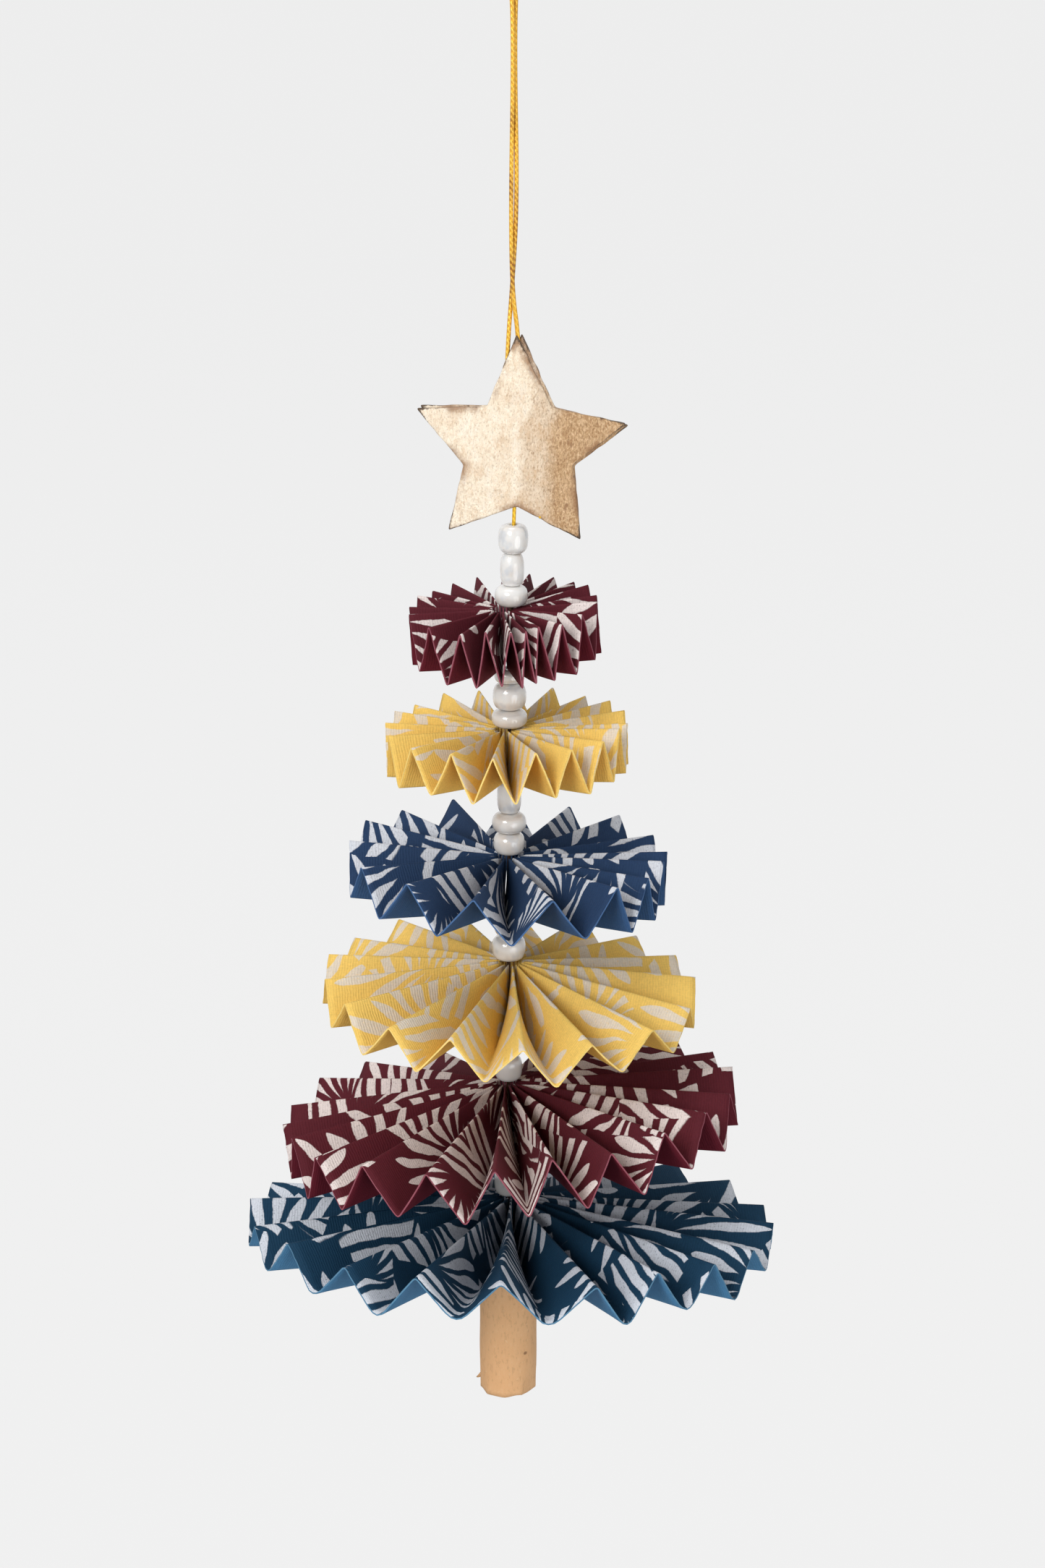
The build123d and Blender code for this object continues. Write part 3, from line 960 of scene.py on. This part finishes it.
def barGroup(tree, ahead, aside, place, swing):
    # bars side by side, each with its own length; place is the row and column of the repeat
    bar, off = inPlace(tree, ahead, blockPrint["barPitch"], swing)
    bars = within(tree, sums(tree, "ABSOLUTE", off), blockPrint["barHalfWidth"], blockPrint["barEdge"])
    spread, inside = blockPrint["barReach"]
    longer = chances(tree, bar, *place)[0]
    reach = sums(tree, "MULTIPLY_ADD", longer, spread, blockPrint["repeatOut"] / 2 - inside)
    left = sums(tree, "SUBTRACT", reach, sums(tree, "ABSOLUTE", aside))
    return bars, ease(tree, left, 0.0, blockPrint["barEndEdge"])


def printMask(tree, place, turnAngle):
    # 1 where the pale ink lies; place is millimetres along the strip and outwards
    turned = tree.nodes.new("ShaderNodeMapping")
    tree.links.new(place, turned.inputs["Vector"])
    turned.inputs["Rotation"].default_value = (0.0, 0.0, turnAngle)
    turned.inputs["Scale"].default_value = (1 / blockPrint["enlarged"], 1 / blockPrint["enlarged"], 1.0)
    slow = shaken(tree, turned.outputs["Vector"], blockPrint["wanderGrain"], blockPrint["wander"])
    parts = parted(tree, shaken(tree, slow, blockPrint["edgeGrain"], blockPrint["edgeShake"]))
    row, y = inPlace(tree, parts["Y"], blockPrint["repeatOut"], 0.0)
    stagger = sums(tree, "MULTIPLY", row, 0.5)
    column, x = inPlace(tree, parts["X"], blockPrint["repeatAlong"], stagger)
    facing, hasBars, swing = chances(tree, column, row)
    turn = sums(tree, "MULTIPLY", facing, 2 * math.pi)
    cosine = sums(tree, "COSINE", turn)
    sine = sums(tree, "SINE", turn)
    ahead = sums(tree, "ADD", sums(tree, "MULTIPLY", x, cosine), sums(tree, "MULTIPLY", y, sine))
    aside = sums(tree, "SUBTRACT", sums(tree, "MULTIPLY", y, cosine), sums(tree, "MULTIPLY", x, sine))
    fanned = sums(tree, "ADD", ahead, blockPrint["fanBack"])
    angle = sums(tree, "ARCTAN2", aside, fanned)
    opening = sums(tree, "ABSOLUTE", angle)
    strokes = fanStrokes(tree, angle, hypotenuse(tree, fanned, aside), (column, row), swing)
    inFan = within(tree, opening, blockPrint["fanHalf"], blockPrint["fanEdge"])
    strokes = sums(tree, "MULTIPLY", strokes, inFan)
    bars, ends = barGroup(tree, ahead, aside, (row, column), swing)
    start, full = blockPrint["barsBehind"]
    behind = ease(tree, opening, blockPrint["fanHalf"] + start, blockPrint["fanHalf"] + full)
    wanted = within(tree, hasBars, blockPrint["barsIn"], 0.01)
    bars = sums(tree, "MULTIPLY", sums(tree, "MULTIPLY", bars, behind), sums(tree, "MULTIPLY", ends, wanted))
    return sums(tree, "MAXIMUM", strokes, bars)


def paperPlace(tree):
    node = tree.nodes.new("ShaderNodeUVMap")
    node.uv_map = "plan"
    return node.outputs["UV"]


def paperGrain(tree, place, shader, colour):
    # laid ribs, soft fibres and slight clouds in the colour
    wobble = grain(tree, place, 0.6, detail=2.0)
    along = sums(tree, "MULTIPLY_ADD", wobble, handmade["ribWobble"], parted(tree, place)["Y"])
    ribs = sums(tree, "SINE", sums(tree, "MULTIPLY", along, 2 * math.pi / handmade["ribPitch"]))
    fibres = grain(tree, stretched(tree, place, handmade["fibreGrain"]), 1.0, detail=5.0, roughness=0.75)
    crossing = grain(tree, stretched(tree, place, handmade["crossingGrain"]), 1.0, detail=4.0, roughness=0.7)
    clouds = grain(tree, place, handmade["cloudGrain"], detail=3.0)
    level = handmade["tone"]
    for value, tone in zip((ribs, fibres, crossing, clouds), handmade["grainTones"]):
        level = sums(tree, "MULTIPLY_ADD", value, tone, level)
    shade = tree.nodes.new("ShaderNodeVectorMath")
    shade.operation = "SCALE"
    plug(tree, colour, shade.inputs[0])
    tree.links.new(level, shade.inputs["Scale"])
    tree.links.new(shade.outputs["Vector"], shader.inputs["Base Color"])
    ribRelief = sums(tree, "MULTIPLY", ribs, handmade["ribRelief"])
    relief = sums(tree, "MULTIPLY_ADD", fibres, handmade["fibreRelief"], ribRelief)
    raised(tree, shader, relief, handmade["relief"] * mm, handmade["reliefStrength"])


def printedTop(name, colours, turnAngle):
    material, tree, shader = newMaterial(name, handmade["topRoughness"])
    shader.inputs["Specular IOR Level"].default_value = handmade["shine"]
    place = paperPlace(tree)
    cover = grain(tree, place, 3.2, detail=4.0, roughness=0.7)
    thin = ease(tree, cover, *blockPrint["inkShares"])
    ink = sums(tree, "MULTIPLY", printMask(tree, place, turnAngle), thin)
    colour = blendColours(tree, ink, colours["ground"], colours["ink"])
    paperGrain(tree, place, shader, colour)
    return material


def plainSide(name, colour):
    material, tree, shader = newMaterial(name, handmade["underRoughness"])
    shader.inputs["Specular IOR Level"].default_value = handmade["shine"]
    paperGrain(tree, paperPlace(tree), shader, colour[:3])
    return material


def rimAngles(ring):
    # upstanding folds at the outer edge: the front ones as read, the others even
    front = list(ring["frontFolds"])
    others = ring["folds"] - len(front)
    gap = (front[0] + 360.0 - front[-1]) / (others + 1)
    return front + [front[-1] + gap * (i + 1) for i in range(others)]


def rimWave(ring, fold):
    return ring["wave"] * math.sin(paper["waveStep"] * fold + ring["radius"])


def around(radius, degrees, z):
    turn = math.radians(degrees)
    return Vector((radius * math.sin(turn), -radius * math.cos(turn), z))


def foldEnds(ring):
    # inner and outer end of every fold, by turns upstanding and hanging
    count = ring["folds"]
    rims = rimAngles(ring)
    nexts = rims[1:] + [rims[0] + 360.0]
    hubStart = sum(rims[i] - 360.0 * i / count for i in range(count)) / count
    heights = []
    for here, following in zip(rims, nexts):
        chord = 2 * ring["radius"] * math.sin(math.radians(following - here) / 4)
        heights.append(math.sqrt(max(ring["depth"] ** 2 - chord ** 2, (ring["depth"] / 3) ** 2)))
    ends = []
    for i in range(count):
        hubAngle = hubStart + 360.0 * i / count
        top = ring["lift"] + rimWave(ring, i) + (heights[i - 1] + heights[i]) / 4
        bottom = ring["lift"] + rimWave(ring, i + 0.5) - heights[i] / 2
        ends.append((around(paper["hubRadius"], hubAngle, ring["depth"] / 2),
                     around(ring["radius"], rims[i], top)))
        ends.append((around(paper["hubRadius"], hubAngle + 180.0 / count, -ring["depth"] / 2),
                     around(ring["radius"], (rims[i] + nexts[i]) / 2, bottom)))
    return ends


def creaseRounding(folds, i, share, rimCrease):
    # the rounded crease at a fold: its two ends and its corner. Creases soften towards the rim.
    count = len(folds)
    before, here, after = folds[i - 1], folds[i % count], folds[(i + 1) % count]
    width = paper["creaseWidth"] + (rimCrease[i % 2] - paper["creaseWidth"]) * share ** 2
    back = here.lerp(before, min(width / (here - before).length, paper["creaseShare"]))
    ahead = here.lerp(after, min(width / (after - here).length, paper["creaseShare"]))
    return back, here, ahead


def crossLine(folds, share, bows, rimCrease):
    # one line round the ring at a share of the way out, creases rounded, panels slightly bowed
    line = []
    strip = []
    count = len(folds)
    distance = 0.0
    for i in range(count):
        here, after = folds[i], folds[(i + 1) % count]
        crease = creaseRounding(folds, i, share, rimCrease)
        following = creaseRounding(folds, (i + 1) % count, share, rimCrease)
        span = (after - here).length
        first = (crease[2] - here).length
        last = (following[0] - after).length
        line += [onBend(crease, 0.5), onBend(crease, 0.75)]
        strip += [distance, distance + first / 2]
        outward = (after - here).cross(Vector((here.x + after.x, here.y + after.y, 0.0))).normalized()
        for step in range(paper["panelSteps"] + 1):
            along = first + (span - first - last) * step / paper["panelSteps"]
            swell = math.sin(math.pi * along / span) * bows[i] * math.sin(math.pi * min(1.0, share * 0.75))
            line.append(here.lerp(after, along / span) + outward * swell)
            strip.append(distance + along)
        line.append(onBend(following, 0.25))
        strip.append(distance + span - last / 2)
        distance += span
    return line, strip


def ringHubHeight(ring):
    # the ring's hub lies under the bead above it, with room for the ring's tilt
    beadBottom = boxInMm(ring["above"])[0].z
    tilt = math.radians(math.hypot(ring["tiltForward"], ring["tiltSide"]))
    rise = paper["seatRadius"] * math.sin(tilt)
    return beadBottom - paper["beadGap"] - paper["seatGap"] - rise - ring["depth"] / 2


def foldedSheet(ring, number):
    # lines round the ring, from the hub out to the rim, and where each column lies along the strip.
    # The strip is one width all the way, so these are the outer line's lengths.
    chance = random.Random(number * 17)
    ends = foldEnds(ring)
    bows = [chance.uniform(-1.0, 1.0) * paper["bow"] for end in ends]
    rows = []
    for step in range(paper["outwardSteps"] + 1):
        share = step / paper["outwardSteps"]
        folds = [hub.lerp(rim, share) for hub, rim in ends]
        line, strip = crossLine(folds, share, bows, paper[ring["creases"]])
        rows.append(line)
    for j, point in enumerate(rows[-1]):
        stray = noise.noise(Vector((strip[j] * 0.9, number * 9.3, 0.2))) * paper["edgeWander"]
        rows[-1][j] = point + Vector((point.x, point.y, 0.0)).normalized() * stray
    return rows, strip


def sheetNormals(rows):
    # upward normal of the folded sheet at each of its points
    normals = []
    count = len(rows)
    columns = len(rows[0])
    for i in range(count):
        inner = rows[max(i - 1, 0)]
        outer = rows[min(i + 1, count - 1)]
        for j in range(columns):
            radial = outer[j] - inner[j]
            sideways = rows[i][(j + 1) % columns] - rows[i][j - 1]
            normals.append(radial.cross(sideways).normalized())
    if normals[0].z < 0:
        normals = [-normal for normal in normals]
    return normals


def planOfStrip(mesh, ring, number, rows, strip):
    # the UV map lays the paper out flat, in millimetres, and moves on for each ring
    columns = len(strip)
    size = len(rows) * columns
    total = sum((rows[-1][j] - rows[-1][j - 1]).length for j in range(columns))
    wide = ring["radius"] - paper["hubRadius"]
    along, out = blockPrint["shiftStep"]
    plan = mesh.uv_layers.new(name="plan")
    for polygon in mesh.polygons:
        places = [divmod(mesh.loops[loop].vertex_index % size, columns) for loop in polygon.loop_indices]
        closing = any(column == columns - 1 for row, column in places)
        for loop, (row, column) in zip(polygon.loop_indices, places):
            u = total if closing and column == 0 else strip[column]
            v = paper["hubRadius"] + wide * row / (len(rows) - 1)
            plan.data[loop].uv = (u + number * along, v + number * out)


def makeRing(ring, number):
    rows, strip = foldedSheet(ring, number)
    count, columns = len(rows), len(strip)
    size = count * columns
    middle = [point for line in rows for point in line]
    normals = sheetNormals(rows)
    half = paper["thickness"] / 2
    upper = [point + normal * half for point, normal in zip(middle, normals)]
    lower = [point - normal * half for point, normal in zip(middle, normals)]
    tiltX = Matrix.Rotation(math.radians(ring["tiltForward"]), 3, "X")
    tiltY = Matrix.Rotation(math.radians(-ring["tiltSide"]), 3, "Y")
    move = Vector((ring["offset"], 0.0, ringHubHeight(ring)))
    points = [tiltX @ tiltY @ point + move for point in upper + lower]
    topFaces = gridFaces(count, columns, True, flip=True)
    underFaces = gridFaces(count, columns, True, start=size)
    cutFaces = []
    for base, flip in ((0, False), (size - columns, True)):
        for j in range(columns):
            k = (j + 1) % columns
            quad = (base + j, base + k, size + base + k, size + base + j)
            cutFaces.append(quad[::-1] if flip else quad)
    piece = meshPiece(ring["name"], points, topFaces + underFaces + cutFaces)
    planOfStrip(piece.data, ring, number, rows, strip)
    colours = papers[ring["paper"]]
    turnAngle = blockPrint["firstTurn"] + number * blockPrint["turnStep"]
    piece.data.materials.append(printedTop(ring["name"] + "Top", colours, turnAngle))
    # the underside's lightened colour is painted light from below
    piece.data.materials.append(plainSide(ring["name"] + "UnderPaintedLight", colours["under"]))
    piece.data.materials.append(plainSide(ring["name"] + "Cut", colours["cut"]))
    for polygon in piece.data.polygons:
        if polygon.index >= len(topFaces) + len(underFaces):
            polygon.material_index = 2
            polygon.use_smooth = False
        elif polygon.index >= len(topFaces):
            polygon.material_index = 1
    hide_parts(ring["node"])


for number, ring in enumerate(rings, start=1):
    makeRing(ring, number)
print("rings made")


# Trunk: a strip of kraft paper rolled up, pressed into flats at the bottom, where its outer end
# stands off a little

trunk = {
    "diameter": 8.6,
    "middleX": -0.22,                   # where the thread runs through it
    "paperThickness": 0.38,
    "turnGap": 0.07,
    "coreRadius": 0.35,
    "seamAngle": 150.0,
    "stepDegrees": 7.0,
    "rows": 26,
    "flats": (0, 62, 121, 180, 224, 262, 300, 360),     # corners, in degrees, of the pressed bottom
    "pressedReach": 3.2,
    "pressedEase": 0.8,                 # below 1 the flats set in quickly
    "flare": 1.5,                       # how far the seam's corner stands off at the bottom
    "flareReach": 1.8,
    "flareSteps": 5,
    "wander": 0.08,                     # unevenness of the roll
    "raggedness": 0.35,                 # of its bottom edge
    "kraft": linear(234, 182, 130),
    "light": linear(238, 194, 146),
    "dark": linear(150, 106, 70),
    "cloudShares": (0.35, 0.7, 0.0, 0.4),       # from and to in the grain, then in strength
    "paleFibres": (0.54, 0.68, 0.0, 0.45),
    "darkFibres": (0.36, 0.46, 0.22, 0.0),
    "paleFlecks": (0.66, 0.72, 0.0, 0.9),
    "fibreGrain": (2600.0, 2600.0, 900.0),
    "fleck": (2.3, -205.0),             # x and z of the dark fleck on the front
    "fleckSize": (0.12, 0.34),          # radius of its dark middle, and of all of it
    "fleckStrength": 0.9,
    "roughness": 0.8,
    "relief": 0.06,
}


def trunkMaterial():
    material, tree, shader = newMaterial("kraftPaper", trunk["roughness"])
    place = objectPlace(tree)
    clouds = grain(tree, place, 130.0, detail=3.0)
    fibres = grain(tree, stretched(tree, place, trunk["fibreGrain"]), 1.0, detail=4.0, roughness=0.7)
    flecks = grain(tree, place, 1300.0, detail=2.0, roughness=0.6)
    colour = trunk["kraft"]
    for value, shares, over in (
        (clouds, trunk["cloudShares"], trunk["light"]),
        (fibres, trunk["paleFibres"], trunk["light"]),
        (fibres, trunk["darkFibres"], trunk["dark"]),
        (flecks, trunk["paleFlecks"], trunk["light"]),
    ):
        colour = blendColours(tree, ease(tree, value, *shares), colour, over)
    parts = parted(tree, place)
    small, large = trunk["fleckSize"]
    away = frontDistance(tree, parts, trunk["fleck"])
    spot = ease(tree, away, small * mm, large * mm, trunk["fleckStrength"], 0.0)
    front = sums(tree, "LESS_THAN", parts["Y"], 0.0)
    colour = blendColours(tree, sums(tree, "MULTIPLY", spot, front), colour, trunk["dark"])
    plug(tree, colour, shader.inputs["Base Color"])
    relief = sums(tree, "MULTIPLY_ADD", clouds, 1.5, fibres)
    raised(tree, shader, relief, trunk["relief"] * mm, 0.8)
    return material


def flatShare(angle):
    # distance to a flat as a share of the distance to the round
    degrees = math.degrees(angle) % 360
    for start, end in zip(trunk["flats"], trunk["flats"][1:]):
        if start <= degrees <= end:
            half = math.radians(end - start) / 2
            return math.cos(half) / math.cos(math.radians(degrees - (start + end) / 2))
    return 1.0


def rolledLine():
    # radius and angle of the strip's inner side, from the seam in to the core
    pitch = trunk["paperThickness"] + trunk["turnGap"]
    radius = trunk["diameter"] / 2 - trunk["paperThickness"]
    angle = math.radians(trunk["seamAngle"])
    step = math.radians(trunk["stepDegrees"])
    line = []
    while radius > trunk["coreRadius"]:
        line.append((radius, angle))
        angle -= step
        radius -= pitch * step / (2 * math.pi)
    return line


def rollFaces(rows, columns):
    # both sides of the strip, its two ends, and its top and bottom edges
    size = rows * columns
    faces = gridFaces(rows, columns, False)
    faces += gridFaces(rows, columns, False, start=size, flip=True)
    for row in range(rows - 1):
        for column in (0, columns - 1):
            a = row * columns + column
            b = a + columns
            quad = (a, b, size + b, size + a)
            faces.append(quad if column == 0 else quad[::-1])
    for row in (0, rows - 1):
        for column in range(columns - 1):
            a = row * columns + column
            quad = (a, size + a, size + a + 1, a + 1)
            faces.append(quad if row == 0 else quad[::-1])
    return faces


def makeTrunk():
    low, high = boxInMm("trunk")
    length = high.z - low.z
    line = rolledLine()
    lastRow = trunk["rows"] - 1
    points = []
    for extra in (0.0, trunk["paperThickness"]):
        for row in range(trunk["rows"]):
            down = length * row / lastRow
            pressed = max(0.0, 1 - (length - down) / trunk["pressedReach"]) ** trunk["pressedEase"]
            near = max(0.0, 1 - (length - down) / trunk["flareReach"])
            for k, (radius, angle) in enumerate(line):
                across, along = math.cos(angle), math.sin(angle)
                standing = trunk["flare"] * near * max(0.0, 1 - k / trunk["flareSteps"])
                wander = noise.noise(Vector((across * 1.5, along * 1.5, down * 0.18))) * trunk["wander"]
                flat = 1 + (flatShare(angle) - 1) * pressed
                r = (radius + extra) * flat + standing + wander
                ragged = 0.0
                if row == lastRow:
                    ragged = noise.noise(Vector((angle * 1.3, 3.1, 0.7))) * trunk["raggedness"]
                z = high.z - down + max(ragged, 0.0)
                points.append((trunk["middleX"] + r * across, r * along, z))
    piece = meshPiece("trunkRoll", points, rollFaces(trunk["rows"], len(line)))
    piece.data.materials.append(trunkMaterial())
    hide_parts("trunk")


makeTrunk()
print("trunk made")


# Stringing thread: the model's own tube and knot, with a finish

stringThread = {
    "gold": linear(238, 194, 48),
    "paintedHighlight": linear(250, 216, 84),
    "brown": linear(222, 170, 40),
    "dim": linear(70, 48, 30),          # where beads and rings shade it
    "dimBetween": (-210.0, -86.0),
    "twist": 0.8,
}


def dressStringThread():
    node = bpy.data.objects["stringing_thread"]
    material = threadMaterial("yellowThread", stringThread)
    node.data.materials.clear()
    node.data.materials.append(material)


dressStringThread()
print("stringing thread dressed")


# Thread end: a short end of the thread that shows under the star's lower edge

threadEnd = {
    "route": [(4.0, 0.28, -82.9), (4.05, 0.26, -84.2), (4.25, -0.1, -85.1)],
    "radius": 0.23,
    "cutRadius": 0.138,                 # where it was cut off
    "sides": 12,
    "steps": 10,
}


def makeThreadEnd():
    route = [Vector(point) for point in threadEnd["route"]]
    steps, sides = threadEnd["steps"], threadEnd["sides"]
    points = []
    for step in range(steps + 1):
        centre = onBend(route, step / steps)
        radius = threadEnd["radius"] if step < steps else threadEnd["cutRadius"]
        for i in range(sides):
            turn = 2 * math.pi * i / sides
            points.append((centre.x + radius * math.cos(turn), centre.y + radius * math.sin(turn), centre.z))
    faces = gridFaces(steps + 1, sides, True, flip=True)
    faces.append(tuple(range(sides)))
    faces.append(tuple(steps * sides + i for i in reversed(range(sides))))
    piece = meshPiece("threadEnd", points, faces)
    piece.data.materials.append(bpy.data.materials["yellowThread"])


makeThreadEnd()
print("thread end made")
